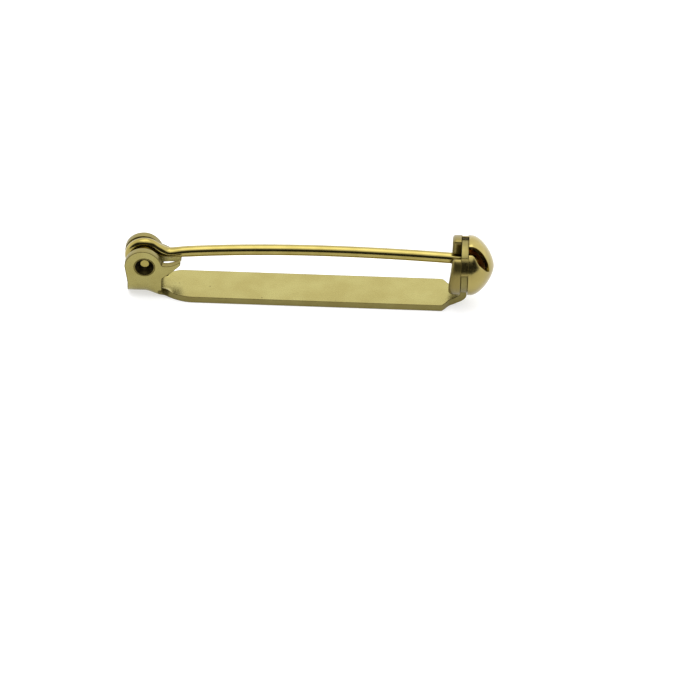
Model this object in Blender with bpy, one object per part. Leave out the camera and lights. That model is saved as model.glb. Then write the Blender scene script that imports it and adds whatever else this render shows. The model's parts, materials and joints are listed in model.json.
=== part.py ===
"""A locking bar pin: the brass back of a brooch, with a hinged pin stem and a rotating safety catch.

X runs along the bar from the hinge to the catch, Y across it towards the back, Z up from the face that is
soldered or glued to the brooch. The origin is in the middle of that face. All lengths are in metres.
"""
import math

import bmesh
import bpy
from mathutils import Vector

MM = 0.001

# Sheet and wire
sheet = 0.65 * MM  # thickness of the stamping
rotor_sheet = 0.79 * MM  # thickness of the rotor's inner disc
wire_radius = 0.50 * MM

# Bar
bar_width = 4.4 * MM
hinge_to_hook = 30.28 * MM  # hinge axis to the middle of the hook plate
front_bar_to_hinge = 4.6 * MM  # hinge axis to where the bar's front edge reaches its full width
back_bar_to_hinge = 3.5 * MM
bar_to_hook = 2.0 * MM  # end of the bar's full width to the middle of the hook plate

# Ears
ear_radius = 1.78 * MM
ear_shift = 0.12 * MM  # how far the ears stand out beyond the hinge axis
ear_drop = 0.10 * MM  # how far below the hinge axis they have their middle
ear_taper = 0.30 * MM  # how much their outer edges draw in towards the fold
back_ear_growth = 0.04 * MM  # by this much the back ear has a larger radius, towards the bar's end
hinge_height = 3.52 * MM  # hinge axis above the underside
ears_across = 3.24 * MM  # over both ears
round_bend = 1.58 * MM  # outer radius of their fold under the rivet
tight_bend = 0.80 * MM  # and beside the notch
fold_lift = 0.10 * MM  # how far the sheet's middle rises under the ears
horn_reach = 3.40 * MM  # tip of the horn from the hinge axis
front_horn_root = 0.20 * MM  # where the horn's upper edge leaves the ear, above the hinge axis
back_horn_root = 0.50 * MM
front_horn_top = 0.52 * MM  # upper corner of the tip above the hinge axis
back_horn_top = -0.35 * MM
front_horn_tip = 0.42 * MM  # height of the blunt tip
back_horn_tip = 0.62 * MM
front_horn_low = 1.3 * MM  # where the horn's lower edge leaves the ear, below the hinge axis
back_horn_low = 1.15 * MM
front_horn_sag = 0.16 * MM  # how far the front horn's upper edge sags
front_horn_lean = 0.32 * MM  # how far the tip leans in towards the wire
back_horn_lean = 0.08 * MM
notch_width = 0.22 * MM  # relief cut between the ear and the bar
notch_depth = 0.35 * MM
neck_edge = 1.12 * MM  # the bar's edge beside the notch, from the middle line along the sheet
uncurl = 1.5 * MM  # length over which the fold runs out into the flat bar

# Rivet
rivet_radius = 0.72 * MM
rivet_flare = 0.99 * MM  # radius of its rim
flare_depth = 0.36 * MM
recess_mouth = 0.92 * MM  # radius of the hollow end at the face
recess_floor = 0.48 * MM
recess_depth = 0.62 * MM
hinge_clearance = 0.04 * MM

# Hook plate and its neck
hook_setback = 0.24 * MM  # how far its rim stands back from the rotor's
eye_radius = 1.42 * MM
hook_mouth = 1.54 * MM  # width of the slot into the eye
hook_neck = 1.9 * MM  # width of the strip that carries the plate
hook_run = 1.48 * MM  # length of the oval fold along the bar, to the plate's middle
hook_rise = 0.82 * MM  # height of the fold, from the bar's middle
mouth_angle = math.radians(29)  # the slot's direction, up from straight forwards

# Rotor
rotor_radius = 2.86 * MM
rotor_round = 0.40 * MM  # rounding of the inner disc's rim
rotor_lift = 0.42 * MM  # how far the rotor's rim stands clear of the bar's upper face
collar_outer = 1.36 * MM
collar_inner = 1.16 * MM
leaf_gap = 0.08 * MM  # rotor leaf to hook plate
bridge_clearance = 0.07 * MM  # bridge to the hook plate's rim
bridge_wall = 0.22 * MM
front_bridge_from = math.radians(12)
front_bridge_to = math.radians(45)
back_bridge_from = math.radians(104)
back_bridge_to = math.radians(158)
window_from = math.radians(111)
window_to = math.radians(151)
window_width = 0.75 * MM
rotor_mouth_low = math.radians(47)
rotor_mouth_high = math.radians(82)
dome_rim = 0.25 * MM  # straight rim before the dome curves in
dome_depth = 2.20 * MM
dome_wall = 0.42 * MM
dome_power = 1.65  # 2 would be an ellipse, 1 a cone
slot_back = 0.50 * MM  # the dome's slot in end view: forward of the axis at its open end, back and front line
slot_front = 0.80 * MM
slot_lip = 1.67 * MM  # where its front line meets the rim
slot_lip_up = 2.32 * MM
slot_belly = 2.27 * MM  # where it is farthest forward
slot_belly_up = 1.35 * MM
slot_end = 1.85 * MM  # its lower end
slot_end_up = 0.60 * MM

# Stem
stem_offset = 0.42 * MM  # the eye's plane, behind the middle of the ears
stem_tip = 1.40 * MM  # point past the middle of the hook plate
tip_length = 1.0 * MM  # ground part
tip_radius = 0.10 * MM
grind_power = 2.2  # 1 would grind the tip to a cone, 2 gives it a bullet's curve
seat_up = 0.35 * MM  # where the wire lies in the catch, above its axis
seat_back = 0.36 * MM  # and behind it
bow = 0.62 * MM  # how far the wire arches over its chord
bow_skew_share = 0.2  # how far the arch leans towards the eye
neck_start = 2.5 * MM  # where the wire runs straight on from the eye
neck_rise = 0.42 * MM  # its height there above the hinge axis
neck_pinch_share = 0.14  # how much thinner the wire is where the eye was closed
eye_slack = 0.10 * MM  # by this much the eye is wound wider, away from the stem
tail_angle = math.radians(-42)  # where the cut end of the eye stands
leave_angle = math.radians(50)  # where the wire leaves the eye

overrun = 1.0 * MM  # how far a cutting shape reaches past the piece
weld = 0.0007 * MM  # points closer than this are one point

# Counts of steps round curves
arc_steps = 24
edge_steps = 12
horn_steps = 8
round_steps = 48
wire_steps = 36
fold_steps = 8
least_curl_share = 0.02  # under this share of its curl the sheet counts as flat

# Places that follow from the sizes
hinge_x = -hinge_to_hook / 2
ear_x = hinge_x - ear_shift
ear_right = ear_x + ear_radius
hook_x = hinge_to_hook / 2
hook_radius = rotor_radius - hook_setback
catch_height = sheet + rotor_lift + rotor_radius  # catch axis above the underside
ear_fold = ears_across / 2 - round_bend  # where the ear's fold starts, from the middle line
ear_fold_length = (round_bend - sheet / 2) * math.pi / 2
hook_fold_length = math.pi / 2 * math.hypot(hook_run, hook_rise) / math.sqrt(2)
hook_fold = hook_x - hook_run  # where the hook's fold starts
eye_ring = rivet_radius + hinge_clearance + wire_radius + eye_slack
horn_foot = neck_edge + notch_width / 2  # parts the bar from the ears beside the notch
horn_line = bar_width / 2 + notch_width  # past the ears, sheet beyond this distance belongs to a horn
leaf_face = sheet / 2 + leaf_gap


def clear_scene():
    for item in list(bpy.data.objects):
        bpy.data.objects.remove(item, do_unlink=True)


def metal(name, colour, roughness):
    """A Principled metal of one colour."""
    material = bpy.data.materials.new(name)
    material.use_nodes = True
    shader = material.node_tree.nodes["Principled BSDF"]
    shader.inputs["Base Color"].default_value = (*colour, 1)
    shader.inputs["Metallic"].default_value = 1
    shader.inputs["Roughness"].default_value = roughness
    return material


def place(name, mesh):
    piece = bpy.data.objects.new(name, mesh)
    bpy.context.scene.collection.objects.link(piece)
    return piece


def shade(piece):
    piece.data.shade_smooth()
    piece.data.set_sharp_from_angle(angle=math.radians(35))


def arc(centre, radius, start, end, steps=arc_steps):
    """Points from one angle to another round a centre, both ends included."""
    return [
        (centre[0] + radius * math.cos(a), centre[1] + radius * math.sin(a))
        for a in steps_between(start, end, steps)
    ]


def prism(name, outline, along, low, high):
    """A closed outline in the plane across one axis, extruded from low to high on that axis."""
    order = {"x": lambda u, v, w: (w, u, v), "y": lambda u, v, w: (u, w, v), "z": lambda u, v, w: (u, v, w)}[along]
    mesh = bpy.data.meshes.new(name)
    shape = bmesh.new()
    face = shape.faces.new([shape.verts.new(order(u, v, low)) for u, v in outline])
    grown = bmesh.ops.extrude_face_region(shape, geom=[face])
    moved = [v for v in grown["geom"] if isinstance(v, bmesh.types.BMVert)]
    bmesh.ops.translate(shape, vec=Vector(order(0, 0, high - low)), verts=moved)
    bmesh.ops.recalc_face_normals(shape, faces=shape.faces)
    shape.to_mesh(mesh)
    shape.free()
    return place(name, mesh)


def turned(name, profile, along, centre, steps=round_steps):
    """A profile of (distance along the axis, radius) spun round an axis through centre.

    The first and last points lie on the axis, or the profile closes on itself. Nothing is spun from an edge
    that lies on the axis, as between the outer and the inner pole of a shell.
    """
    mesh = bpy.data.meshes.new(name)
    shape = bmesh.new()
    side = {"x": lambda s, r: (s, 0, r), "y": lambda s, r: (r, s, 0)}[along]
    axis = {"x": Vector((1, 0, 0)), "y": Vector((0, 1, 0))}[along]
    points = [shape.verts.new(Vector(side(s, r))) for s, r in profile]
    pairs = list(zip(points, points[1:]))
    if profile[0][1] > 0:
        pairs.append((points[-1], points[0]))
    radii = {point: r for point, (s, r) in zip(points, profile)}
    edges = [shape.edges.new(pair) for pair in pairs if max(radii[v] for v in pair) > 0]
    bmesh.ops.spin(
        shape, geom=points + edges, cent=(0, 0, 0), axis=axis, angle=math.tau, steps=steps, use_merge=True
    )
    bmesh.ops.remove_doubles(shape, verts=shape.verts, dist=weld)
    bmesh.ops.translate(shape, vec=Vector(centre), verts=shape.verts)
    bmesh.ops.recalc_face_normals(shape, faces=shape.faces)
    shape.to_mesh(mesh)
    shape.free()
    return place(name, mesh)


def combine(piece, other, operation):
    """Join another shape to a piece, or cut it away. The other shape stays as a hidden guide."""
    other.hide_render = True
    other.display_type = "WIRE"
    step = piece.modifiers.new(f"{operation.lower()} {other.name}", "BOOLEAN")
    step.operation = operation
    step.object = other


def round_hole(name, radius, centre, along, low, high):
    return prism(name, arc(centre, radius, 0, math.tau)[:-1], along, low, high)


def between(start, end, share):
    return start + (end - start) * share


def steps_between(start, end, steps):
    return [between(start, end, i / steps) for i in range(steps + 1)]


def ear_blank(u, height):
    """The flat blank's place for a point of an ear at a height above the underside."""
    return u, ear_fold + ear_fold_length + height - round_bend


def side_outline(growth, root, top, tip, low, sag, bar_to_hinge):
    """One side of the flat blank, as distances from the middle line: ear, horn, notch, bar and chamfer."""
    radius = ear_radius + growth
    drop = ear_drop + growth
    centre = ear_right - radius
    root_angle = math.asin((root + drop) / radius)
    outline = [(centre - radius + ear_taper, ear_fold + ear_fold_length)]
    outline += [ear_blank(*p) for p in arc((centre, hinge_height - drop), radius, math.pi, root_angle)]
    for t in steps_between(0, 1, horn_steps)[1:]:
        rise = between(root, top, t) - 4 * sag * t * (1 - t)
        outline.append(ear_blank(between(ear_right, hinge_x + horn_reach, t), hinge_height + rise))
    for t in steps_between(0, 1, horn_steps):
        fall = between(top - tip, -low, t)
        outline.append(ear_blank(between(hinge_x + horn_reach, ear_right, t), hinge_height + fall))
    outline.append((ear_right, neck_edge + notch_width))
    outline.append((ear_right - notch_depth, neck_edge + notch_width))
    outline.append((ear_right - notch_depth, neck_edge))
    for t in steps_between(0, 1, edge_steps):
        swell = math.sin(math.pi / 2 * t)
        along = between(ear_right, hinge_x + bar_to_hinge, t)
        outline.append((along, between(neck_edge, bar_width / 2, swell)))
    chamfer = (bar_width - hook_neck) / 2
    outline.append((hook_x - bar_to_hook, bar_width / 2))
    outline.append((hook_x - bar_to_hook + chamfer, hook_neck / 2))
    return outline


def hook_outline():
    """The hook plate in the flat blank, from the front of its neck round to the back, mouth and eye included.

    Angles count up from straight forwards, as they stand once the plate is folded up.
    """
    centre = hook_fold + hook_fold_length + catch_height - sheet / 2 - hook_rise

    def swing(radius, start, end, steps):
        return [(centre + radius * math.sin(a), -radius * math.cos(a)) for a in steps_between(start, end, steps)]

    neck = math.acos(hook_neck / 2 / hook_radius)
    rim_half = math.asin(hook_mouth / 2 / hook_radius)
    eye_half = math.asin(hook_mouth / 2 / eye_radius)
    lower = swing(hook_radius, -neck, mouth_angle - rim_half, edge_steps)
    eye = swing(eye_radius, mouth_angle - eye_half, mouth_angle + eye_half - math.tau, arc_steps)
    upper = swing(hook_radius, mouth_angle + rim_half, math.pi + neck, arc_steps)
    return lower + eye + upper


def wave(share):
    """Half a cosine wave: nought and level at share nought, one and level at share one."""
    return (1 - math.cos(math.pi * min(max(share, 0), 1))) / 2


def fold_hook(u, v, depth):
    """Beyond the bar's end the sheet turns up along a quarter of an oval, and then stands upright."""
    turn = math.pi / 2 * min((u - hook_fold) / hook_fold_length, 1)
    upright = max(0, u - hook_fold - hook_fold_length)
    middle = Vector((hook_fold + hook_run * math.sin(turn), v, sheet / 2 + hook_rise * (1 - math.cos(turn))))
    inward = Vector((-hook_rise * math.sin(turn), 0, hook_run * math.cos(turn))).normalized()
    return middle + inward * depth + Vector((0, 0, upright))


def fold_blank(point):
    """Where a point of the flat blank stands after the ears and the hook plate are folded up.

    Across the ears the sheet runs flat, turns up round the fold and stands upright. The fold tightens from the
    rivet to the notch, and the sheet stretches to fit. Past the notch its curl runs out along the bar. The horns
    lean in towards the wire with the square of their reach.
    """
    u, v, w = point
    depth = w - sheet / 2
    if u > hook_fold:
        return fold_hook(u, v, depth)
    across = abs(v)
    tightening = wave((u - hinge_x) / (ear_right - hinge_x))
    bend = between(round_bend, tight_bend, tightening)
    flat = ears_across / 2 - bend
    quarter = (bend - sheet / 2) * math.pi / 2
    reference = ear_fold + ear_fold_length
    stretched = flat + quarter + round_bend - bend
    run = across * stretched / reference if across < reference else across - reference + stretched
    in_bar = across < horn_line and u > ear_right - notch_depth and (u > ear_right or across < horn_foot)
    curl = 1 - wave((u - ear_right + notch_depth) / uncurl) if in_bar else 1
    if in_bar:
        run = between(across, run, curl)
    lift = fold_lift * (1 - tightening)
    if run < flat or curl < least_curl_share:
        return Vector((u, math.copysign(run, v), w + lift))
    radius = (bend - sheet / 2) / curl
    turn = min(run - flat, quarter) / radius
    upright = max(0, run - flat - quarter)
    y = flat + (radius - depth) * math.sin(turn) + upright * math.cos(turn)
    z = sheet / 2 + radius - (radius - depth) * math.cos(turn) + upright * math.sin(turn)
    if u > ear_right and not in_bar:
        out = (u - ear_right) / (hinge_x + horn_reach - ear_right)
        y -= (front_horn_lean if v < 0 else back_horn_lean) * out**2
    return Vector((u, math.copysign(y, v), z + lift))


def slice_across(shape, axis, start, end):
    """Cut the shape's faces into strips square to one axis, so that it can bend there."""
    normal = Vector([1 if i == axis else 0 for i in range(3)])
    for where in steps_between(start, end, fold_steps):
        everything = shape.verts[:] + shape.edges[:] + shape.faces[:]
        bmesh.ops.bisect_plane(shape, geom=everything, dist=weld, plane_co=normal * where, plane_no=normal)


def make_base_bar():
    """Blanked flat, then folded: the ears with their horns at one end, the hook plate at the other."""
    front = side_outline(
        0, front_horn_root, front_horn_top, front_horn_tip, front_horn_low, front_horn_sag, front_bar_to_hinge
    )
    back = side_outline(
        back_ear_growth, back_horn_root, back_horn_top, back_horn_tip, back_horn_low, 0, back_bar_to_hinge
    )
    outline = [(u, -v) for u, v in front] + hook_outline() + back[::-1]
    blank = prism("base_bar", outline, "z", 0, sheet)
    shape = bmesh.new()
    shape.from_mesh(blank.data)
    bmesh.ops.triangulate(shape, faces=shape.faces[:])
    for side in (-1, 1):
        slice_across(shape, 1, side * ear_fold, side * (ear_fold + ear_fold_length))
    slice_across(shape, 0, hook_fold, hook_fold + hook_fold_length)
    slice_across(shape, 0, hinge_x, ear_right - notch_depth)
    slice_across(shape, 0, ear_right - notch_depth, ear_right - notch_depth + uncurl)
    bmesh.ops.triangulate(shape, faces=shape.faces[:])
    for vertex in shape.verts:
        vertex.co = fold_blank(vertex.co)
    shape.to_mesh(blank.data)
    shape.free()
    half = ears_across / 2
    hole = rivet_radius + hinge_clearance
    flare = rivet_flare + hinge_clearance
    profile = [
        (-half - overrun, 0),
        (-half - overrun, flare),
        (-half, flare),
        (-half + flare_depth, hole),
        (half - flare_depth, hole),
        (half, flare),
        (half + overrun, flare),
        (half + overrun, 0),
    ]
    combine(blank, turned("ear_holes", profile, "y", (hinge_x, 0, hinge_height)), "DIFFERENCE")
    return blank


def make_hinge_rivet():
    """The rivet across the ears: a shank with a flared rim and a hollow at each end."""
    half = ears_across / 2
    profile = [
        (-half + recess_depth, 0),
        (-half + recess_depth, recess_floor),
        (-half, recess_mouth),
        (-half, rivet_flare),
        (-half + flare_depth, rivet_radius),
    ]
    profile += [(-s, r) for s, r in reversed(profile)]
    rivet = turned("hinge_rivet", profile, "y", (0, 0, 0))
    rivet.location = (hinge_x, 0, hinge_height)
    return rivet


def stem_points():
    """The wire's middle line and its thickness, from the cut end of the eye to the point.

    The places are measured from the hinge axis. The wire goes round the rivet from the lower right, over the
    top, and dips out of the eye into the stem, which arches a little over its chord.
    """
    turn = math.tau - (leave_angle - tail_angle)
    ring = []
    for i in range(arc_steps + 1):
        angle = tail_angle - turn * i / arc_steps
        along = eye_ring * math.cos(angle) - eye_slack
        ring.append((Vector((along, stem_offset, eye_ring * math.sin(angle))), 1))
    start = ring[-1][0]
    heading = Vector((math.sin(leave_angle), 0, -math.cos(leave_angle)))
    neck = Vector((neck_start, stem_offset, neck_rise))
    far = Vector((hinge_to_hook + stem_tip, seat_back, catch_height + seat_up - hinge_height))
    chord = far - neck
    rise = Vector((chord.length, 0, chord.z + 4 * bow * (1 + bow_skew_share))).normalized()
    reach = (neck - start).length
    curve = []
    for t in steps_between(0, 1, horn_steps)[1:]:
        line = start * (1 + 2 * t) * (1 - t) ** 2 + heading * reach * t * (1 - t) ** 2
        line += neck * t**2 * (3 - 2 * t) - rise * reach * t**2 * (1 - t)
        curve.append((line, 1 - neck_pinch_share * math.sin(math.pi / 2 * t) ** 2))
    stem = []
    ground_share = 1 - tip_length / chord.length
    shares = steps_between(0, ground_share, wire_steps)[1:] + steps_between(ground_share, 1, fold_steps)[1:]
    for share in shares:
        arch = 4 * bow * share * (1 - share) * (1 + bow_skew_share * (1 - 2 * share))
        place_on = neck + chord * share + Vector((0, 0, arch))
        ground = max(0, (share - ground_share) / (1 - ground_share))
        pinch = neck_pinch_share * max(0, 1 - share * chord.length / neck_start)
        thickness = (1 - pinch) * (1 - (1 - tip_radius / wire_radius) * ground**grind_power)
        stem.append((place_on, thickness))
    return ring + curve + stem


def make_pin_stem():
    curve = bpy.data.curves.new("pin_stem", "CURVE")
    curve.dimensions = "3D"
    curve.bevel_depth = wire_radius
    curve.bevel_resolution = 4
    curve.use_fill_caps = True
    points = stem_points()
    line = curve.splines.new("POLY")
    line.points.add(len(points) - 1)
    for point, (where, thickness) in zip(line.points, points):
        point.co = (*where, 1)
        point.radius = thickness
    stem = place("pin_stem", curve)
    stem.location = (hinge_x, 0, hinge_height)
    return stem


def dome_radius(share, radius, power=dome_power):
    return radius * (1 - share**power) ** (1 / power)


def dome_profile(radius, depth, start):
    """Radius of the dome against the distance from the hook plate, from its rim to its pole."""
    shares = [math.sin(angle) for angle in steps_between(0, math.pi / 2, edge_steps)]
    return [(start + depth * share, dome_radius(min(share, 1), radius)) for share in shares]


def wedge(low, high, reach):
    """End view of the mouth between two angles, counted up from straight forwards."""
    return [(0, 0)] + [(-reach * math.cos(a), reach * math.sin(a)) for a in steps_between(low, high, edge_steps)]


def ring_part(name, inner, outer, low, high, start, end):
    """Part of a tube round the catch axis between two angles, counted up from straight forwards."""
    angles = steps_between(low, high, edge_steps)
    outline = [(-outer * math.cos(a), outer * math.sin(a)) for a in angles]
    outline += [(-inner * math.cos(a), inner * math.sin(a)) for a in reversed(angles)]
    return prism(name, outline, "x", start, end)


def make_catch_rotor():
    """The folded rotor: inner disc with its collar, bridge over the rim, and the hollow dome."""
    back = -leaf_face - rotor_sheet
    front = sheet / 2
    rim = arc((back + rotor_round, rotor_radius - rotor_round), rotor_round, math.pi, math.pi / 2, fold_steps)
    disc = [(back, 0)] + rim + [(-leaf_face, rotor_radius), (-leaf_face, collar_outer)]
    disc += [(front, collar_outer), (front, 0)]
    rotor = turned("catch_rotor", disc, "x", (0, 0, 0))
    bore = round_hole("collar_bore", collar_inner, (0, 0), "x", back - overrun, front + overrun)
    combine(rotor, bore, "DIFFERENCE")
    reach = rotor_radius + overrun
    mouth = prism("rotor_mouth", wedge(rotor_mouth_low, rotor_mouth_high, reach), "x", back - overrun, leaf_face)
    combine(rotor, mouth, "DIFFERENCE")
    outer = dome_profile(rotor_radius, dome_depth, leaf_face + dome_rim)
    inner = dome_profile(rotor_radius - dome_wall, dome_depth - dome_wall, leaf_face + dome_rim)
    shell = [(leaf_face, rotor_radius)] + outer + inner[::-1] + [(leaf_face, rotor_radius - dome_wall)]
    dome = turned("dome", shell, "x", (0, 0, 0))
    cut = [
        (-slot_back, reach),
        (-slot_front, reach),
        (-slot_lip, slot_lip_up),
        (-slot_belly, slot_belly_up),
        (-slot_end, slot_end_up),
    ]
    opening = prism("dome_cut", cut, "x", 0, dome_depth + overrun)
    combine(dome, opening, "DIFFERENCE")
    inside = hook_radius + bridge_clearance
    start, end = back + rotor_sheet / 2, leaf_face + dome_rim
    front_bridge = ring_part(
        "front_bridge", inside, inside + bridge_wall, front_bridge_from, front_bridge_to, start, end
    )
    back_bridge = ring_part("back_bridge", inside, inside + bridge_wall, back_bridge_from, back_bridge_to, start, end)
    window = ring_part("window", hook_radius, reach, window_from, window_to, -window_width / 2, window_width / 2)
    combine(back_bridge, window, "DIFFERENCE")
    combine(rotor, back_bridge, "UNION")
    combine(rotor, front_bridge, "UNION")
    combine(rotor, dome, "UNION")
    for shape in (rotor, bore, mouth, dome, opening, front_bridge, back_bridge, window):
        shape.location = (hook_x, 0, catch_height)
    return rotor


def main():
    clear_scene()
    brass = metal("satin_brass", (0.60, 0.52, 0.20), 0.32)
    polished = metal("polished_brass", (0.66, 0.56, 0.22), 0.18)
    drawn = metal("drawn_brass_wire", (0.64, 0.54, 0.20), 0.20)
    stem = make_pin_stem()
    pieces = {
        make_base_bar(): brass,
        make_hinge_rivet(): polished,
        stem: drawn,
        make_catch_rotor(): polished,
    }
    for piece, material in pieces.items():
        piece.data.materials.append(material)
        if piece.type == "MESH":
            shade(piece)


main()
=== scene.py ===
"""A locking bar pin for a brooch back: how it looks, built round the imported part.

X runs along the bar from the hinge to the catch, Y across it towards the back, Z up from the underside.
Sizes are in millimetres and become metres when a mesh is written.
"""
import json
import math
from functools import partial

import bmesh
import bpy
import numpy as np
from mathutils import Matrix, Vector


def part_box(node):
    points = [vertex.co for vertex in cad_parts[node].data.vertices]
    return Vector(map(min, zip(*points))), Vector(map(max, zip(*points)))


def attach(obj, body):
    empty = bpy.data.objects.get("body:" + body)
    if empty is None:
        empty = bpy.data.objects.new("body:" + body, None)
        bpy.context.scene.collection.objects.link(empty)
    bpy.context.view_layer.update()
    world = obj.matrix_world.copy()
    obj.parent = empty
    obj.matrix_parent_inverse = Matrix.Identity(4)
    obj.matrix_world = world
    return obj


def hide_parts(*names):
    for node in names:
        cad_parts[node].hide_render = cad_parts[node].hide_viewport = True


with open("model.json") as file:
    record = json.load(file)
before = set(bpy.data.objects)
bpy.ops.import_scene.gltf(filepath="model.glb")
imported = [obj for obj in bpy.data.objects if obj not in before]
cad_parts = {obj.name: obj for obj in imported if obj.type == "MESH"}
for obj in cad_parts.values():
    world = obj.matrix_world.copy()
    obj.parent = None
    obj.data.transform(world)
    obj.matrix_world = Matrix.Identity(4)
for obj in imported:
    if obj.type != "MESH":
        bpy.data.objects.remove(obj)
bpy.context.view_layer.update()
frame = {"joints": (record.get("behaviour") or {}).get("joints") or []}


# ---- Base bar ----
# One stamping of 0.65 mm half-hard brass sheet. The blank is cut flat, then its two ears with their horns are
# folded up at one end and the round hook plate at the other. It is soldered or glued on by its flat underside.

MM = 0.001  # a millimetre in metres


def axis_of(joint):
    """A point on a joint's axis, in millimetres."""
    return np.array(next(j for j in frame["joints"] if j["name"] == joint)["pos_m"]) / MM


hinge_x, _, hinge_z = axis_of("stem_lift")
hook_x, _, hook_z = axis_of("catch_turn")
ears_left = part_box("base_bar")[0][0] / MM

sheet = 0.65  # thickness
bar_half = 2.2  # half of the bar's width
ears_half = 1.62  # half of the width over both ears
# Values in pairs are for the front side, -1, and the back side, 1.
ear_radii = {-1: 1.78, 1: 1.82}
ear_drops = {-1: 0.10, 1: 0.14}  # how far below the hinge axis the ears have their middle
ear_right = ears_left + 2 * ear_radii[1]
ear_taper = 0.30  # how much their outer edges draw in towards the fold
round_bend = 1.58  # outer radius of the ears' fold under the rivet
tight_bend = 0.80  # and beside the notch
fold_lift = 0.10  # how far the sheet rises under the ears
rivet_clear = 1.06  # but not within this radius of the rivet
lift_fade = 0.60  # and by less within this much more
hook_run = 1.48  # the hook plate's fold is a quarter of an oval of this length
hook_rise = 0.82  # and this height
horn_reach = 3.40  # the horns' tips, past the hinge axis
horn_roots = {-1: 0.20, 1: 0.50}  # where their upper edges leave the ears, above the hinge axis
horn_tops = {-1: 0.52, 1: -0.35}  # and where they end at the tips
horn_sags = {-1: 0.16, 1: 0}  # how far they sag between
horn_tips = {-1: 0.42, 1: 0.62}  # height of the blunt tips
horn_lows = {-1: 1.3, 1: 1.15}  # where the lower edges leave the ears, below the hinge axis
horn_leans = {-1: 0.32, 1: 0.08}  # how far the tips lean in towards the wire
horn_steps = 24  # points along the upper edges
notch_width = 0.22  # of the relief cut between the ear and the bar
notch_depth = 0.35
neck_edge = 1.12  # the bar's edge beside the notch
uncurl = 1.5  # length over which the ears' fold runs out into the flat bar
bar_to_hinge = {-1: 4.6, 1: 3.5}  # where the edges reach the full width, past the hinge axis
bar_to_hook = 2.0  # where they leave it, before the hook plate's middle
neck_steps = 30  # points along the swelling edges
neck_half = 0.95  # half of the width of the strip that carries the hook plate
# From there the bar's end is cut off slantwise: places along and half widths.
shoulder = np.array([[0, bar_half], [0.26, 1.9], [0.72, 1.22], [1.25, neck_half]])
plate_radius = 2.62
eye_radius = 1.42
mouth_half = 0.77  # half of the width of the slot into the eye
mouth_angle = math.radians(29)  # its direction, up from straight forwards
eye_steps = 80  # points along the eye, and along the rim behind the mouth
rim_steps = 90
corner_round = 0.10
edge_round = 0.045
edge_inset = 0.04  # ring of flat sheet kept beside the rounded edge
rivet_hole = 0.74
rivet_flare = 0.98  # radius of the hole's countersink at the ear's outer face
flare_depth = 0.36
hole_rim = 0.03
step = 0.09  # spacing of the outline's points
weld = step / 1000  # points closer than this are one point
slice_step = 0.16  # spacing of the slices that let the sheet bend
least_curl = 0.01  # with less of its curl left, the sheet is flat
crease = math.radians(40)  # sharper edges than this look sharp
arc_steps = 60  # points along an arc before its line is resampled
edge_steps = 6  # and along each rounding of a cut edge
hole_steps = 72

ear_fold = ears_half - round_bend
ear_fold_length = (round_bend - sheet / 2) * math.pi / 2
hook_fold = hook_x - hook_run
hook_fold_length = math.pi / 2 * math.hypot(hook_run, hook_rise) / math.sqrt(2)
horn_line = bar_half + notch_width
blank_hinge = ear_fold + ear_fold_length + hinge_z - round_bend  # the rivet hole's middle on the flat blank
blank_hook = hook_fold + hook_fold_length + hook_z - sheet / 2 - hook_rise


def resampled(points, spacing):
    """A closed line's points at equal steps along its length."""
    closed = np.vstack([points, points[:1]])
    run = np.concatenate([[0], np.cumsum(np.linalg.norm(np.diff(closed, axis=0), axis=1))])
    at = np.linspace(0, run[-1], int(run[-1] / spacing), endpoint=False)
    return np.stack([np.interp(at, run, closed[:, i]) for i in range(closed.shape[1])], axis=1)


def corners_rounded(points, spacing, radius):
    """Each point becomes the mean of its neighbours within the radius, so that sharp corners turn round."""
    reach = max(1, int(radius / spacing))
    return sum(np.roll(points, i, axis=0) for i in range(-reach, reach + 1)) / (2 * reach + 1)


def outward(loop):
    """Unit normals in the plane of a closed line that runs counter-clockwise, pointing out of it."""
    along = np.roll(loop, -1, axis=0) - np.roll(loop, 1, axis=0)
    along /= np.linalg.norm(along, axis=1)[:, None]
    return np.stack([along[:, 1], -along[:, 0]], axis=1)


def side_line(side):
    """One side of the flat blank, hinge end first: ear, horn, notch, neck, bar and shoulder.

    The ear is an arc of a circle. The horn's upper edge is a straight line with a sag of 4 s t (1 - t) below it.
    The neck swells to the bar's width as a quarter of a sine wave.
    """
    radius, drop, root, top = ear_radii[side], ear_drops[side], horn_roots[side], horn_tops[side]
    turn = np.linspace(math.pi, math.asin((root + drop) / radius), arc_steps)
    middle = ear_right - radius
    ear = np.stack([middle + radius * np.cos(turn), blank_hinge - drop + radius * np.sin(turn)], axis=1)
    ear = np.vstack([[middle - radius + ear_taper, ear_fold + ear_fold_length], ear])
    t = np.linspace(0, 1, horn_steps)[1:]
    rise = root + (top - root) * t - 4 * horn_sags[side] * t * (1 - t)
    upper = np.stack([ear_right + (hinge_x + horn_reach - ear_right) * t, blank_hinge + rise], axis=1)
    lower = np.array([
        [hinge_x + horn_reach, blank_hinge + top - horn_tips[side]],
        [ear_right, blank_hinge - horn_lows[side]],
        [ear_right, neck_edge + notch_width],
        [ear_right - notch_depth, neck_edge + notch_width],
        [ear_right - notch_depth, neck_edge],
    ])
    t = np.linspace(0, 1, neck_steps)
    swell = np.sin(math.pi / 2 * t)
    along = ear_right + (hinge_x + bar_to_hinge[side] - ear_right) * t
    neck = np.stack([along, neck_edge + (bar_half - neck_edge) * swell], axis=1)
    line = np.vstack([ear, upper, lower, neck, shoulder + [hook_x - bar_to_hook, 0]])
    return line * [1, side]


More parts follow.
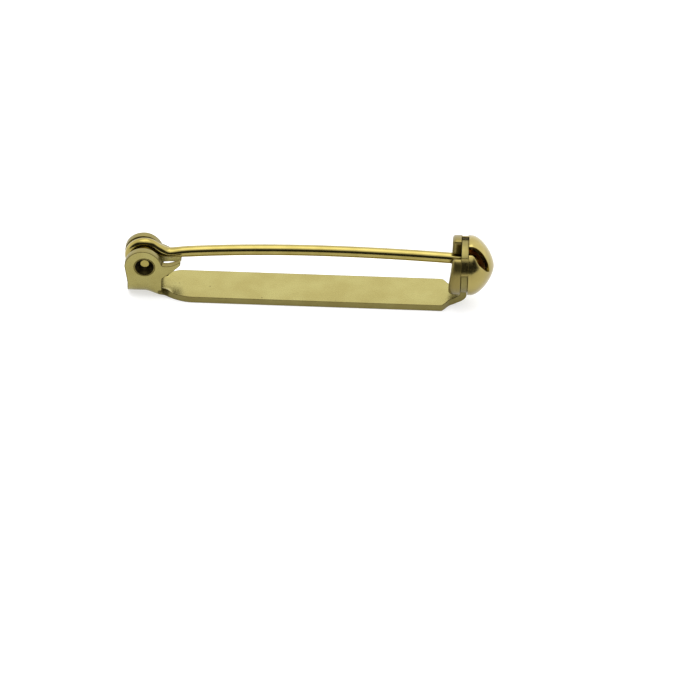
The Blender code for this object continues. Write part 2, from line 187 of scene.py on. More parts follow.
def plate_line():
    """The hook plate on the flat blank: arcs of two circles, its rim up to the mouth, the eye and the rim again."""

    def swing(radius, start, end, steps):
        turn = np.linspace(start, end, steps)
        return np.stack([blank_hook + radius * np.sin(turn), -radius * np.cos(turn)], axis=1)

    neck = math.acos(neck_half / plate_radius)
    rim = math.asin(mouth_half / plate_radius)
    eye = math.asin(mouth_half / eye_radius)
    return np.vstack([
        swing(plate_radius, -neck, mouth_angle - rim, arc_steps),
        swing(eye_radius, mouth_angle - eye, mouth_angle + eye - math.tau, eye_steps),
        swing(plate_radius, mouth_angle + rim, math.pi + neck, rim_steps),
    ])


def wave(share):
    """Half a cosine wave, (1 - cos(pi share)) / 2, which is level at its ends, nought and one."""
    return (1 - np.cos(math.pi * np.clip(share, 0, 1))) / 2


def folded(points):
    """Where points of the flat blank (along, across, through the sheet) stand once it is folded up.

    Across the blank the sheet runs flat, turns up round the fold and stands upright. The fold tightens from the
    rivet to the notch as half a cosine wave, and the sheet stretches to fit. Past the notch's end its curl fades
    to nothing along the bar, as another half wave. The ears stand a little higher, but not round the rivet nor at
    the notch, again by half waves. The horns lean in with the square of their reach. The hook plate turns up round
    a quarter of an oval, in which the sheet's middle keeps its length.
    """
    u, v, w = points.T
    depth = w - sheet / 2
    across = np.abs(v)
    tightening = wave((u - hinge_x) / (ear_right - hinge_x))
    bend = round_bend + (tight_bend - round_bend) * tightening
    start = ears_half - bend
    arc = (bend - sheet / 2) * math.pi / 2
    reference = ear_fold + ear_fold_length
    stretched = start + arc + round_bend - bend
    run = np.where(across < reference, across * stretched / reference, across - reference + stretched)
    notch_end = ear_right - notch_depth
    under_ear = (u > ear_right) | (across < neck_edge + notch_width / 2)
    in_bar = (across < horn_line) & (u > notch_end) & under_ear
    curl = np.where(in_bar, 1 - wave((u - notch_end) / uncurl), 1)
    run = np.where(in_bar, across + (run - across) * curl, run)
    from_rivet = np.hypot(u - hinge_x, across - blank_hinge)
    lift = fold_lift * (1 - tightening) * wave((from_rivet - rivet_clear) / lift_fade)
    flat = (run < start) | (curl < least_curl)
    bent = np.clip(run - start, 0, arc)
    upright = np.clip(run - start - arc, 0, None)
    radius = (bend - sheet / 2) / np.maximum(curl, least_curl)
    turn = bent / radius
    y = start + (radius - depth) * np.sin(turn) + upright * np.cos(turn)
    z = sheet / 2 + radius - (radius - depth) * np.cos(turn) + upright * np.sin(turn)
    out = np.clip((u - ear_right) / (hinge_x + horn_reach - ear_right), 0, None)
    lean = np.where(v < 0, horn_leans[-1], horn_leans[1])
    y = np.where(in_bar, y, y - lean * out**2)
    y = np.where(flat, run, y)
    z = np.where(flat, w, z) + lift
    turn = math.pi / 2 * np.clip((u - hook_fold) / hook_fold_length, 0, 1)
    upright = np.clip(u - hook_fold - hook_fold_length, 0, None)
    slope = np.hypot(hook_rise * np.sin(turn), hook_run * np.cos(turn))
    hooked = u > hook_fold
    x = np.where(hooked, hook_fold + (hook_run - depth * hook_rise / slope) * np.sin(turn), u)
    hook = sheet / 2 + hook_rise - (hook_rise - depth * hook_run / slope) * np.cos(turn) + upright
    z = np.where(hooked, hook, z)
    y = np.where(hooked, across, y)
    return np.stack([x, np.copysign(y, v), z], axis=1)


def edge_profile(thickness, low_round, high_round):
    """How far a rounded edge stands in from its outline and at which heights, from the lower face to the upper.

    Each rounding is a quarter of a circle, with sines for the insets and cosines for the heights.
    """
    turn = np.linspace(0, math.pi / 2, edge_steps)
    inset = np.concatenate([
        [low_round + edge_inset], low_round * (1 - np.sin(turn)), high_round * (1 - np.cos(turn)),
        [high_round + edge_inset],
    ])
    height = np.concatenate([
        [0], low_round * (1 - np.cos(turn)), thickness - high_round * (1 - np.sin(turn)), [thickness],
    ])
    return inset, height


def band(rows, count):
    """Faces between closed lines of equal counts, stacked one after another, numbered in rows."""
    index = np.arange(rows * count).reshape(rows, count)
    nxt = np.roll(index, -1, axis=1)
    return np.stack([index[:-1], nxt[:-1], nxt[1:], index[1:]], axis=-1).reshape(-1, 4)


def surface(points, faces, cut=None):
    """A mesh from an array of points and a list of faces, with an attribute "cut" if it is given."""
    mesh = bpy.data.meshes.new("surface")
    mesh.from_pydata(points, [], faces)
    if cut is not None:
        mesh.attributes.new("cut", "FLOAT", "POINT").data.foreach_set("value", cut)
    return mesh


def plate(lines, bends=()):
    """Flat sheet metal between closed lines, each given as its points, its insets and their heights.

    Each line's edge profile is carried round it, p - n i at height h. The flats fill the space between the
    profiles' ends. The attribute "cut" is one along both rims of a line's edge, half between them and nought on
    the flats. The bends are pairs of an axis and the places along it where the sheet is sliced so that it can bend.
    """
    points, faces, cut, rims = [], [], [], ([], [])
    start = 0
    for outline, insets, heights in lines:
        normal = outward(outline)
        count, rows = len(outline), len(insets)
        points += [np.column_stack([outline - normal * i, np.full(count, h)]) for i, h in zip(insets, heights)]
        faces.append(band(rows, count) + start)
        graded = np.interp(np.arange(rows), [0, 1, rows / 2, rows - 2, rows - 1], [0, 1, 0.5, 1, 0])
        cut.append(np.repeat(graded, count))
        rims[0].append(start + np.arange(count))
        rims[1].append(start + (rows - 1) * count + np.arange(count))
        start += rows * count
    mesh = surface(np.vstack(points), np.vstack(faces).tolist(), np.concatenate(cut))
    shape = bmesh.new()
    shape.from_mesh(mesh)
    shape.verts.ensure_lookup_table()
    for level, rings in enumerate(rims):
        pairs = np.vstack([np.column_stack([ring, np.roll(ring, -1)]) for ring in rings])
        edges = [shape.edges.get((shape.verts[a], shape.verts[b])) for a, b in pairs]
        bmesh.ops.triangle_fill(shape, edges=edges, use_beauty=True, normal=(0, 0, 2 * level - 1))
    for axis, places in bends:
        normal = Vector((axis == 0, axis == 1, 0))
        for where in places:
            everything = shape.verts[:] + shape.edges[:] + shape.faces[:]
            bmesh.ops.bisect_plane(shape, geom=everything, dist=weld, plane_co=normal * where, plane_no=normal)
    shape.to_mesh(mesh)
    shape.free()
    return mesh


def shaped(mesh, place):
    """Move all points of a mesh at once to where a function of their places puts them."""
    points = np.empty(len(mesh.vertices) * 3)
    mesh.vertices.foreach_get("co", points)
    mesh.vertices.foreach_set("co", place(points.reshape(-1, 3)).ravel())
    return mesh


def blank_plate():
    """The flat blank with rounded edges and both rivet holes, sliced where the sheet will bend."""
    outline = np.vstack([side_line(-1), plate_line(), side_line(1)[::-1]])
    outline = corners_rounded(resampled(outline, step), step, corner_round)
    turn = np.linspace(math.tau, 0, hole_steps, endpoint=False)
    ring = rivet_hole * np.stack([np.cos(turn), np.sin(turn)], axis=1)
    flare_rim, bore_rim = rivet_flare + hole_rim, rivet_hole + hole_rim
    radii = np.array([
        flare_rim + edge_inset, flare_rim, rivet_flare, rivet_hole, rivet_hole, bore_rim, bore_rim + edge_inset,
    ])
    heights = [0, 0, hole_rim, flare_depth, sheet - hole_rim, sheet, sheet]
    holes = [(ring + [hinge_x, side * blank_hinge], radii - rivet_hole, heights) for side in (-1, 1)]
    folds = np.arange(ear_fold, ear_fold + ear_fold_length + slice_step, slice_step)
    bends = [
        (1, np.concatenate([folds, -folds])),
        (0, np.arange(hinge_x, ear_right + uncurl, slice_step)),
        (0, np.arange(hook_fold, hook_fold + hook_fold_length + slice_step, slice_step)),
    ]
    return plate([(outline, *edge_profile(sheet, edge_round, edge_round)), *holes], bends)


def write_piece(name, mesh, body, replaced, slot, materials):
    """Make a mesh in millimetres a finished piece that moves with a body and stands for a node of the part."""
    shape = bmesh.new()
    shape.from_mesh(mesh)
    bmesh.ops.remove_doubles(shape, verts=shape.verts, dist=weld)
    bmesh.ops.recalc_face_normals(shape, faces=shape.faces)
    shape.to_mesh(mesh)
    shape.free()
    mesh.name = name
    mesh.transform(Matrix.Scale(MM, 4))
    mesh.shade_smooth()
    mesh.set_sharp_from_angle(angle=crease)
    for material in materials:
        mesh.materials.append(material)
    piece = bpy.data.objects.new(name, mesh)
    bpy.context.scene.collection.objects.link(piece)
    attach(piece, body)
    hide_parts(replaced)
    return piece


def linear(colour):
    """An sRGB hex colour as linear red, green, blue and alpha."""
    parts = [int(colour[i:i + 2], 16) / 255 for i in (1, 3, 5)]
    return (*[p / 12.92 if p <= 0.04045 else ((p + 0.055) / 1.055) ** 2.4 for p in parts], 1)


def node(owner, kind, settings=None, **inputs):
    """Add a node to a material or world, with its settings and its inputs.

    An input is a value, or a node or one of its outputs to link. Its name is Blender's with _ for a space, or its
    number after a _. A node stands for its first output.
    """
    made = owner.node_tree.nodes.new(kind)
    for key, value in (settings or {}).items():
        setattr(made, key, value)
    for key, value in inputs.items():
        socket = made.inputs[int(key[1:]) if key[1:].isdigit() else key.replace("_", " ")]
        value = value.outputs[0] if isinstance(value, bpy.types.Node) else value
        if isinstance(value, bpy.types.NodeSocket):
            owner.node_tree.links.new(value, socket)
        else:
            socket.default_value = value
    return made


# Marks of making and wear, and mottles in the painted shade along cut edges, by how many lie on a millimetre.
clouds_per_mm = 0.45  # patches of the deeper tone
scuffs_per_mm = 1.7
edge_shade_mottles_per_mm = 6  # mottles in the painted shade of a cut edge
scratches_per_mm = (0.35, 9, 9)  # 3 mm long and 0.1 mm wide
scratch_turn = (0.3, 0.5, 0.7)  # and askew to the piece
pits_per_mm = 1
pit_size = (0.10, 0.06)  # a pit's radius at its rim and at its floor, in millimetres
mark_height = 0.002  # in millimetres, drawn a little deeper than it is, so that it shows
edge_dullness = 0.25  # a cut edge's added roughness


def brass(name, pale, deep, edge, gloss, grain, specks):
    """Worn brass in pale and deep tones, with tool lines along the grain, and a dark tone for grime and painted
    shade.

    The grain gives the size in millimetres of the tool lines' cells along X, Y and Z: long cells make lines.
    Gloss is the lowest and highest roughness, and specks is the share of pits that are there.
    """
    material = bpy.data.materials.new(name)
    material.use_nodes = True
    material.node_tree.nodes.clear()
    add = partial(node, material)
    times, plus, minus = ({"operation": operation} for operation in ("MULTIPLY", "ADD", "SUBTRACT"))
    colours = {"data_type": "RGBA"}

    # The places in millimetres, stretched along the grain, and turned askew
    where = add("ShaderNodeTexCoord").outputs["Object"]
    place = add("ShaderNodeVectorMath", {"operation": "SCALE"}, _0=where, Scale=1 / MM)
    along = add("ShaderNodeMapping", Vector=place, Scale=tuple(1 / size for size in grain))
    askew = add("ShaderNodeMapping", Vector=place, Rotation=scratch_turn, Scale=scratches_per_mm)

    # The marks
    cut = add("ShaderNodeAttribute", {"attribute_name": "cut"}).outputs["Fac"]
    clouds = add("ShaderNodeTexNoise", Vector=place, Scale=clouds_per_mm, Detail=3)
    lines = add("ShaderNodeTexNoise", Vector=along, Scale=1, Detail=4)
    scuffs = add("ShaderNodeTexNoise", Vector=place, Scale=scuffs_per_mm, Detail=5, Distortion=1.5)
    edge_shade_mottle = add("ShaderNodeTexNoise", Vector=place, Scale=edge_shade_mottles_per_mm, Detail=4)
    scratches = add("ShaderNodeTexNoise", Vector=askew, Scale=1, Detail=1, Distortion=0.4)
    scratches = add("ShaderNodeMapRange", _0=scratches, _1=0.66, _2=0.72)
    cells = add("ShaderNodeTexVoronoi", Vector=place, Scale=pits_per_mm)
    dots = add("ShaderNodeMapRange", _0=cells.outputs["Distance"], _1=pit_size[0], _2=pit_size[1])
    lots = add("ShaderNodeSeparateColor", Color=cells.outputs["Color"])
    chosen = add("ShaderNodeMath", {"operation": "LESS_THAN"}, _0=lots, _1=specks)
    pits = add("ShaderNodeMath", times, _0=dots, _1=chosen)

    # Colour: the clouds mix both tones, the pits take the edge tone as grime, and the "cut" parts take it as
    # painted shade
    clouded = add("ShaderNodeMapRange", _0=clouds, _1=0.35, _2=0.65)
    grime = add("ShaderNodeMath", times, _0=pits, _1=0.7)
    edge_shade_varied = add("ShaderNodeMapRange", _0=edge_shade_mottle, _1=0.3, _2=0.7, _3=0.9)
    painted_edge_shade = add("ShaderNodeMath", times, _0=cut, _1=edge_shade_varied)
    tone = add("ShaderNodeMix", colours, _0=clouded, _6=linear(pale), _7=linear(deep)).outputs[2]
    tone = add("ShaderNodeMix", colours, _0=grime, _6=tone, _7=linear(edge)).outputs[2]
    tone = add("ShaderNodeMix", colours, _0=painted_edge_shade, _6=tone, _7=linear(edge)).outputs[2]

    # Roughness: lines and scuffs spread the gloss from its lowest value to its highest
    lined = add("ShaderNodeMapRange", _0=lines, _1=0.3, _2=0.7, _4=0.6)
    scuffed = add("ShaderNodeMapRange", _0=scuffs, _1=0.4, _2=0.7, _4=0.4)
    worn = add("ShaderNodeMath", plus, _0=lined, _1=scuffed)
    satin = add("ShaderNodeMapRange", _0=worn, _3=gloss[0], _4=gloss[1])
    dull = add("ShaderNodeMath", times, _0=cut, _1=edge_dullness)
    rough = add("ShaderNodeMath", plus, _0=satin, _1=dull)

    # Height: lines and scuffs stand up, scratches and pits go in
    height = add("ShaderNodeMath", times, _0=lines, _1=0.5)
    for marks, share, sense in ((scuffs, 0.35, plus), (scratches, 0.5, minus), (pits, 1.5, minus)):
        part = add("ShaderNodeMath", times, _0=marks, _1=share)
        height = add("ShaderNodeMath", sense, _0=height, _1=part)
    bump = add("ShaderNodeBump", Strength=0.35, Distance=mark_height * MM, Height=height)
    shader = add("ShaderNodeBsdfPrincipled", Base_Color=tone, Metallic=1.0, Roughness=rough, Normal=bump)
    add("ShaderNodeOutputMaterial", Surface=shader)
    return material


# The bar's faces keep the fine lines of the rolled strip and the scuffs of the barrel, which spread its highlights
# into a satin. Its cut edges are duller, and their rims are painted darker as painted shade.
brass_sheet = brass("stamped_brass_sheet", "#989059", "#90864F", "#5A4F2A", (0.20, 0.34), (2.5, 0.09, 0.09), 0.12)
write_piece("stamped_base", shaped(blank_plate(), folded), "base", "base_bar", "satin_brass", [brass_sheet])


# ---- Hinge rivet ----
# A short brass rivet through both ears and the eye. Its ends are driven hollow with a punch, which spreads each
# one into the ear's countersink until it lies flush, and leaves a deep cup with a flat floor.

rivet_radius = 0.72
lip_radius = 0.97
lip_sink = 0.01  # how far its ends stay below the ears' faces
rivet_half = ears_half - lip_sink
cup_mouth = 0.92
cup_floor = 0.40
cup_depth = 0.62
cup_round = 0.05
rivet_sides = 64


def softened(points, radius, steps=4):
    """An open line whose inner corners are replaced by curves that start and end a radius away from them.

    Each curve is (1 - t)^2 a + 2 t (1 - t) c + t^2 b, from a through the corner's pull c to b.
    """
    points = np.asarray(points, float)
    line = [points[:1]]
    t = np.linspace(0, 1, steps + 1)[:, None]
    for before, corner, after in zip(points, points[1:], points[2:]):
        ends = [corner + (p - corner) * min(radius / np.linalg.norm(p - corner), 0.5) for p in (before, after)]
        line.append((1 - t) ** 2 * ends[0] + 2 * t * (1 - t) * corner + t**2 * ends[1])
    line.append(points[-1:])
    return np.vstack(line)


def lofted(loops, cut):
    """A closed body through closed lines of equal counts: faces between neighbours, and a fan on each end.

    The attribute "cut" is given for each line, and nought in the ends' middles.
    """
    rows, count = len(loops), len(loops[0])
    ends = np.array([loops[0].mean(axis=0), loops[-1].mean(axis=0)])
    ring = np.arange(count)
    fans = [np.column_stack([ring + row, np.roll(ring, -1) + row, np.full(count, rows * count + end)])
            for row, end in ((0, 0), ((rows - 1) * count, 1))]
    faces = [*band(rows, count).tolist(), *np.vstack(fans).tolist()]
    return surface(np.vstack([*loops, ends]), faces, np.append(np.repeat(cut, count), [0, 0]))


def spun(profile, steps):
    """A profile's points (along, r) turned round an axis into closed lines (along, r cos a, r sin a)."""
    turn = np.linspace(0, math.tau, steps, endpoint=False)
    return [np.stack([np.full(steps, along), r * np.cos(turn), r * np.sin(turn)], axis=1) for along, r in profile]


half_rivet = softened([
    (rivet_half - cup_depth, cup_floor * 0.5), (rivet_half - cup_depth, cup_floor), (rivet_half, cup_mouth),
    (rivet_half, lip_radius), (rivet_half - flare_depth, rivet_radius), (0, rivet_radius),
], cup_round)
whole_rivet = np.vstack([half_rivet, half_rivet[-2::-1] * [-1, 1]])
rivet_loops = [loop[:, [1, 0, 2]] + [hinge_x, 0, hinge_z] for loop in spun(whole_rivet, rivet_sides)]
# The cup's wall is marked for the edge tone, which paints it near black as painted shade.
cup_wall_radii = (cup_floor, cup_mouth - cup_round / 4)
painted_cup_shade = (cup_wall_radii[0] < whole_rivet[:, 1]) & (whole_rivet[:, 1] < cup_wall_radii[1])
painted_cup_shade &= np.abs(whole_rivet[:, 0]) > rivet_half - cup_depth
# The rim and the cup's floor are bright from the punch. The cup's wall, the "cut" part, is painted near black as
# painted shade in the recess.
rivet_brass_and_cup_shade = brass("driven_brass_rivet_cup_shade", "#96894A", "#857840", "#120C06", (0.10, 0.22), (0.3, 0.05, 0.3), 0.05)
rivet = lofted(rivet_loops, painted_cup_shade)
write_piece("hinge_rivet_visual", rivet, "base", "hinge_rivet", "polished_brass", [rivet_brass_and_cup_shade])


# ---- Pin stem ----
# One length of 1 mm spring-hard brass wire. Its eye is wound round the rivet and closed with a nip that leaves the
# wire flattened where it bends into the stem, and its end is ground to a bullet point.

wire_radius = 0.53
rivet_gap = 0.04
eye_slack = 0.075  # by this much the eye is wound wider, away from the stem
eye_ring = rivet_radius + rivet_gap + wire_radius + eye_slack
stem_offset = 0.42  # the eye's plane, behind the middle of the ears
tail_angle = math.radians(-42)  # where the cut end of the eye stands
leave_angle = math.radians(50)  # where the wire leaves the eye
neck_start = 2.5  # where it runs straight on
neck_rise = 0.42
neck_pinch = 0.16  # by this share it is flattened there
pinch_reach = 0.35  # in lengths of the neck
seat_up = 0.35  # where it lies in the catch, above the catch's axis
seat_back = 0.36  # and behind it
stem_tip = 1.40  # its point, past the hook plate's middle
arch = 0.62  # how far it arches over its chord
arch_skew = 0.2  # how far the arch leans towards the eye
tip_length = 1.0
tip_radius = 0.08
tip_power = 2.2  # 1 would grind the tip to a cone, 2 gives it a bullet's curve
cut_round = 0.06
wire_sides = 32
wound_steps, bend_steps, arch_steps, tip_steps = 90, 26, 110, 22  # points along the eye, neck, stem and tip
first_nipped = 60  # the nip leaves the points before this one alone


def stem_line():
    """The wire's middle line from the eye's cut end to the point, and the share of its thickness left there.

    A ring r (cos a, sin a), then a cubic that leaves it along its tangent and meets the stem, then the stem's
    chord with an arch of 4 h t (1 - t) (1 + k (1 - 2 t)) over it. Over the tip the thickness falls from one as a
    power of the way.
    """
    turn = np.linspace(0, math.tau - (leave_angle - tail_angle), wound_steps)
    angle = tail_angle - turn
    ring = eye_ring * np.stack([np.cos(angle), 0 * angle, np.sin(angle)], axis=1) - [eye_slack, 0, 0]
    start = ring[-1]
    heading = np.array([math.sin(leave_angle), 0, -math.cos(leave_angle)])
    neck = np.array([neck_start, 0, neck_rise])
    far = np.array([hook_x - hinge_x + stem_tip, seat_back - stem_offset, hook_z + seat_up - hinge_z])
    chord = far - neck
    rise = chord + [0, 0, 4 * arch * (1 + arch_skew)]
    rise /= np.linalg.norm(rise)
    reach = np.linalg.norm(neck - start)
    t = np.linspace(0, 1, bend_steps)[1:, None]
    curve = start * (1 + 2 * t) * (1 - t) ** 2 + heading * reach * t * (1 - t) ** 2
    curve += neck * t**2 * (3 - 2 * t) - rise * reach * t**2 * (1 - t)
    length = np.linalg.norm(chord)
    ground = 1 - tip_length / length
    t = np.concatenate([np.linspace(0, ground, arch_steps)[1:], np.linspace(ground, 1, tip_steps)[1:]])
    stem = neck + chord * t[:, None]
    stem[:, 2] += 4 * arch * t * (1 - t) * (1 + arch_skew * (1 - 2 * t))
    left = 1 - (1 - tip_radius / wire_radius) * np.clip((t - ground) / (1 - ground), 0, 1) ** tip_power
    line = np.vstack([ring, curve, stem]) + [hinge_x, stem_offset, hinge_z]
    return line, np.concatenate([np.ones(len(ring) + len(curve)), left])


def tube(line, tall, wide):
    """Closed lines of an oval section carried along a path that keeps close to an upright plane.

    Each line is p + n a cos(v) + b c sin(v), where n is upright in the path's plane and c lies across it.
    """
    along = np.gradient(line, axis=0)
    along /= np.linalg.norm(along, axis=1)[:, None]
    side = np.cross(along, np.cross([0, 1, 0], along))
    side /= np.linalg.norm(side, axis=1)[:, None]
    upright = np.cross(side, along)
    turn = np.linspace(0, math.tau, wire_sides, endpoint=False)[:, None]
    sections = zip(line, upright, side, tall, wide)
    return [p + n * a * np.cos(turn) + c * b * np.sin(turn) for p, n, c, a, b in sections]


line, left = stem_line()
# The nip is a bell curve, exp(-x^2), round the place where the neck ends. It spreads the wire sideways by a third.
from_neck = (line[:, 0] - hinge_x - neck_start) / neck_start
nip = neck_pinch * np.exp(-((from_neck / pinch_reach) ** 2)) * (np.arange(len(line)) > first_nipped)
tall = wire_radius * left * (1 - nip)
wide = wire_radius * left * (1 + nip / 3)
# Two thinner sections round the eye's cut end.
line = np.vstack([line[0] + (line[1] - line[0]) * [[0.01], [0.5]], line[1:]])
tall, wide = (np.concatenate([[r[0] - cut_round, r[1] - cut_round / 3], r[1:]]) for r in (tall, wide))
# The drawing die leaves faint lines along the wire and a mirror gloss, which splits its highlight in long bands.
drawn_wire = brass("drawn_brass_wire", "#9A8D52", "#8C7F45", "#6E6338", (0.08, 0.18), (4.0, 0.07, 0.07), 0.03)
stem = lofted(tube(line, tall, wide), np.zeros(len(line)))
write_piece("wire_stem", stem, "stem", "pin_stem", "drawn_brass_wire", [drawn_wire])


# ---- Catch rotor ----
# Pressed from one brass blank: a slotted disc whose collar turns in the hook plate's eye, two strips folded over
# the plate's rim, and a deep-drawn cap that hoods the pin's point. Its lips are cut, its faces tumbled bright.

# Angles are counted up from straight forwards.
rotor_radius = 2.86
rotor_sheet = 0.84  # thickness of the disc
leaf_gap = 0.03  # from the disc and the cap to the hook plate
leaf_face = sheet / 2 + leaf_gap
slot_low = math.radians(47.5)
slot_high = math.radians(83.6)
slot_round = 0.40  # of the disc's corners beside the slot
ring_steps = 160  # points along its arcs
disc_round = 0.36  # of its free face's rim
disc_crease = 0.05  # of the rim that faces the plate
disc_flare = 0.26  # how far its free face swells
flare_heading = np.array([-0.6, -0.8])  # in this direction in (y, z), towards its lower front
flare_start = 0.15  # from this share of the radius behind the axis
disc_slice = 0.3  # spacing of the slices that let it swell
collar_outer = 1.36
collar_inner = 1.16
collar_step = 0.05
collar_corner = 0.04
collar_round = 0.03
front_strip = np.radians([12, 47])
back_strip = np.radians([104, 158])
window_turn = np.radians([111, 151])  # the opening in the back strip
window_half = 0.375
strip_lap = 0.04  # how far the strips reach into the disc and the cap
strip_inside = plate_radius + 0.05
strip_wall = rotor_radius - strip_inside
strip_corner = 0.1
strip_rounds = (0.04, 0.06)  # of their inner and outer edges
strip_slice = math.radians(4)
cap_rim = 0.30
cap_depth = 2.15
cap_wall = 0.42
cap_power = 1.6  # 2 would be an ellipse, 1 a cone
cap_slot_reach = 1.41  # the slot's back is a straight line that passes the axis at this distance
cap_slot_turn = math.radians(12)  # in this direction, where the slot ends
cap_lip_radii = [1.41, 1.80, 2.28, 2.60, 2.86]  # the slot's front lip bulges: radii and angles of its places
cap_lip_turns = np.radians([12, 16.6, 28.4, 35.5, 54])
cap_rows = 60
cap_columns = 121
lip_round = 0.08


def slotted_ring(inner, outer, spacing, radius):
    """A flat ring's outline in (y, z) round the catch axis: two arcs r (-cos a, sin a) outside the slot."""
    turn = np.linspace(slot_high, math.tau + slot_low, ring_steps)
    arcs = [r * np.stack([-np.cos(a), np.sin(a)], axis=1) for r, a in ((outer, turn), (inner, turn[::-1]))]
    return corners_rounded(resampled(np.vstack(arcs)[::-1], spacing), spacing, radius)


def stood_up(start, flare=0):
    """A placing function that stands a flat ring up across the catch axis, from a place along that axis.

    The ring's free face swells by the flare, as half a cosine wave across it.
    """

    def place(p):
        swell = wave(flare_start + p[:, :2] @ flare_heading / rotor_radius)
        out = flare * swell * (1 - p[:, 2] / rotor_sheet)
        return np.column_stack([hook_x + start + p[:, 2] - out, p[:, 0], hook_z + p[:, 1]])

    return place


def round_the_rim(p):
    """Roll a flat strip (arc length s, along, through) round the catch axis, by the angle s / r."""
    turn, out = p[:, 0] / strip_inside, strip_inside + p[:, 2]
    return np.column_stack([hook_x + p[:, 1], -out * np.cos(turn), hook_z + out * np.sin(turn)])


def rectangle(low, high, spacing, radius, clockwise=False):
    """A rounded rectangle's closed line between two opposite corners."""
    (a, b), (c, d) = low, high
    box = np.array([(a, b), (c, b), (c, d), (a, d)])
    return corners_rounded(resampled(box[::-1] if clockwise else box, spacing), spacing, radius)


def cap_loops():
    """Lines on the cap's outer face, one behind another along the axis, each round it from lip to lip.

    At a share s of its depth the cap's radius is r (1 - s^p)^(1/p). A line starts at the slot's straight back, at
    the angle turn + acos(reach / radius), and ends at its front lip, whose angles are the means of five
    neighbours. Nearer to the axis the lines close.
    """
    share = np.sin(np.linspace(0, math.pi / 2, cap_rows))[:-1]
    along = np.concatenate([[0], cap_rim + cap_depth * share]) + leaf_face
    radius = np.concatenate([[rotor_radius], rotor_radius * (1 - share**cap_power) ** (1 / cap_power)])
    reach = np.maximum(radius, cap_slot_reach)
    low = np.interp(reach, cap_lip_radii, cap_lip_turns)
    low = np.convolve(np.pad(low, 2, mode="edge"), np.full(5, 1 / 5), mode="valid")
    high = cap_slot_turn + np.arccos(cap_slot_reach / reach)
    low = np.where(radius > cap_slot_reach, np.minimum(low, high), high)
    t = np.linspace(0, 1, cap_columns)
    turn = high[:, None] + (math.tau + low - high)[:, None] * t
    along, radius = along[:, None], radius[:, None]
    return np.stack([hook_x + along + 0 * t, -radius * np.cos(turn), hook_z + radius * np.sin(turn)], axis=-1)


def cap_shape():
    """The cap's outer face as a grid of quads, its closed lines joined at the seam and its pole closed."""
    loops = cap_loops()
    rows, count = loops.shape[:2]
    pole = (hook_x + leaf_face + cap_rim + cap_depth, 0, hook_z)
    index = np.arange(rows * count).reshape(rows, count)
    quads = np.stack([index[:-1, :-1], index[:-1, 1:], index[1:, 1:], index[1:, :-1]], axis=-1).reshape(-1, 4)
    fan = np.column_stack([index[-1, :-1], index[-1, 1:], np.full(count - 1, rows * count)])
    return surface(np.vstack([loops.reshape(-1, 3), pole]), [*quads.tolist(), *fan.tolist()])


# Tumbling in the barrel rounds and brightens the pressing all over, and leaves scuffs and small dents.
# Its cut edges take the edge tone as painted shade.
pressed = brass("tumbled_brass_pressing", "#9A8D54", "#8A7C48", "#655A30", (0.12, 0.28), (0.5, 0.5, 0.12), 0.08)
catch = {"body": "catch", "replaced": "catch_rotor", "slot": "polished_brass"}

outline = slotted_ring(collar_inner, rotor_radius, step, slot_round)
slices = np.arange(-rotor_radius, 1, disc_slice)
disc = plate([(outline, *edge_profile(rotor_sheet, disc_round, disc_crease))], [(1, slices)])
disc = shaped(disc, stood_up(-leaf_face - rotor_sheet, disc_flare))
write_piece("rotor_disc", disc, materials=[pressed], **catch)

outline = slotted_ring(collar_inner, collar_outer, collar_step, collar_corner)
collar = plate([(outline, *edge_profile(leaf_face + sheet / 2, collar_round, collar_round))])
write_piece("rotor_collar", shaped(collar, stood_up(-leaf_face)), materials=[pressed], **catch)

for name, turns, windows in (("front", front_strip, []), ("back", back_strip, [window_turn])):
    first, last = turns * strip_inside
    half = leaf_face + strip_lap
    lines = [rectangle((first, -half), (last, half), step, strip_corner)]
    for start, end in windows:
        low, high = (start * strip_inside, -window_half), (end * strip_inside, window_half)
        lines.append(rectangle(low, high, step, strip_corner, clockwise=True))
    slices = np.arange(first, last, strip_slice * strip_inside)
    strip = plate([(line, *edge_profile(strip_wall, *strip_rounds)) for line in lines], [(0, slices)])
    write_piece(f"rotor_{name}_bridge", shaped(strip, round_the_rim), materials=[pressed], **catch)

# The barrel's media don't reach the cap's inside, which stays dull. Its tones are painted far paler and more orange
# than the outside's, as painted light for the light that falls in through the slot.
inside_painted_light = brass("brass_inside_painted_light", "#F0C078", "#E0A860", "#A07840", (0.40, 0.55), (0.3, 0.3, 0.3), 0.05)
cap = write_piece("rotor_cap", cap_shape(), materials=[pressed, inside_painted_light], **catch)
shell = cap.modifiers.new("wall", "SOLIDIFY")
shell.thickness = cap_wall * MM
shell.offset = -1
# The inside takes the second material, whose paler tones are painted light.
shell.material_offset = 1
rounding = cap.modifiers.new("rounding", "BEVEL")
rounding.width = lip_round * MM
rounding.segments = 3
rounding.limit_method = "ANGLE"
rounding.angle_limit = math.radians(50)


# ---- Studio ----
# The pin lies on a light table in a white tent, under one soft light. Only the camera's side of the tent is dark,
# and the metal mirrors it as the dark bands along the wire and across the catch.

view_azimuth = math.radians(-0.45)
view_elevation = math.radians(36.71)
view_roll = math.radians(1.71)
view_distance = 499.3
view_target = np.array([4.535, 0, -6.60])
focal_px = 5200  # focal length in pixels of the frame
frame_px = 700
sensor = 36
dark_from, dark_full = -0.10, -0.45  # how far forwards a direction points where the dark side starts and is full
dark_top, dark_clear = 0.70, 0.86  # how far up, where it is full and where it ends
tent_glow, dark_glow = 1.85, 0.05
table_half = 0.6  # in metres, as are the light's size and place
table_glow = 0.62
light_size = 0.45
light_power = 1
light_place = (-0.03, 0.06, 0.6)

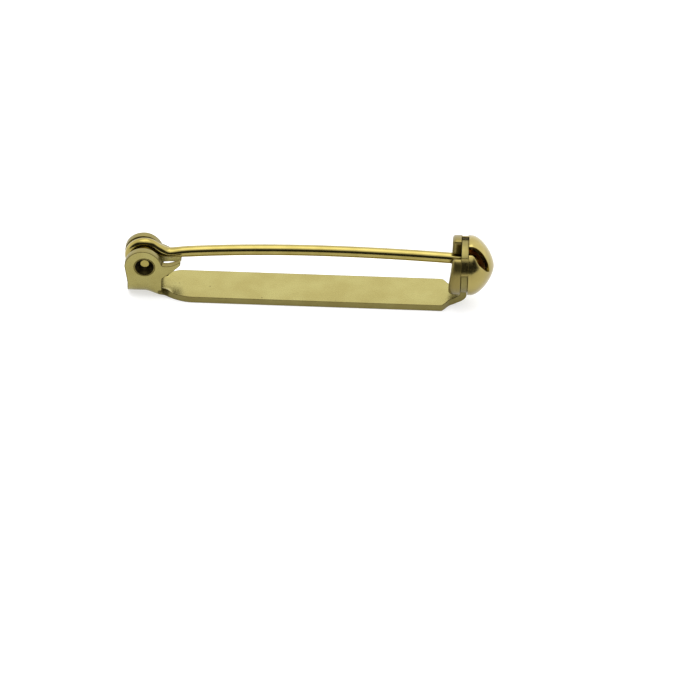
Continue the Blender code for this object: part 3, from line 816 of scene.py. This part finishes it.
towards = Vector((
    math.sin(view_azimuth) * math.cos(view_elevation),
    math.cos(view_azimuth) * math.cos(view_elevation),
    -math.sin(view_elevation),
))
right = towards.cross(Vector((0, 0, 1))).normalized()
up = right.cross(towards)
turned_right = right * math.cos(view_roll) + up * math.sin(view_roll)
turned_up = turned_right.cross(towards)
camera_data = bpy.data.cameras.new("camera")
camera_data.sensor_width = sensor
camera_data.lens = focal_px * sensor / frame_px
camera_data.clip_start = 0.01
camera_data.clip_end = 5
camera = bpy.data.objects.new("camera", camera_data)
bpy.context.scene.collection.objects.link(camera)
place = Vector(view_target * MM) - towards * view_distance * MM
camera.matrix_world = Matrix.Translation(place) @ Matrix((turned_right, turned_up, -towards)).transposed().to_4x4()
bpy.context.scene.camera = camera

world = bpy.data.worlds.new("studio")
world.use_nodes = True
background = world.node_tree.nodes["Background"]
background.inputs["Color"].default_value = linear("#FFFFFF")
direction = node(world, "ShaderNodeTexCoord").outputs["Generated"]
parts = node(world, "ShaderNodeSeparateXYZ", Vector=direction).outputs
ahead = node(world, "ShaderNodeMapRange", _0=parts[1], _1=dark_from, _2=dark_full)
under = node(world, "ShaderNodeMapRange", _0=parts[2], _1=dark_clear, _2=dark_top)
dark = node(world, "ShaderNodeMath", {"operation": "MULTIPLY"}, _0=ahead, _1=under)
shade = node(world, "ShaderNodeMapRange", _0=dark, _3=tent_glow, _4=dark_glow)
world.node_tree.links.new(shade.outputs[0], background.inputs["Strength"])
bpy.context.scene.world = world

floor_mesh = bpy.data.meshes.new("floor")
floor_corners = [(x * table_half, y * table_half, 0) for x, y in ((-1, -1), (1, -1), (1, 1), (-1, 1))]
floor_mesh.from_pydata(floor_corners, [], [(0, 1, 2, 3)])
floor = bpy.data.objects.new("floor", floor_mesh)
bpy.context.scene.collection.objects.link(floor)
# White acrylic, lit from below.
table = bpy.data.materials.new("light_table")
table.use_nodes = True
table_shader = table.node_tree.nodes["Principled BSDF"]
table_shader.inputs["Base Color"].default_value = linear("#B4B4B4")
table_shader.inputs["Emission Color"].default_value = linear("#FFFFFF")
table_shader.inputs["Emission Strength"].default_value = table_glow
floor_mesh.materials.append(table)

light_data = bpy.data.lights.new("softbox", "AREA")
light_data.energy = light_power
light_data.size = light_size
softbox = bpy.data.objects.new("softbox", light_data)
bpy.context.scene.collection.objects.link(softbox)
softbox.location = light_place
softbox.rotation_euler = (-softbox.location).to_track_quat("-Z", "Y").to_euler()

bpy.context.scene.view_settings.view_transform = "Standard"
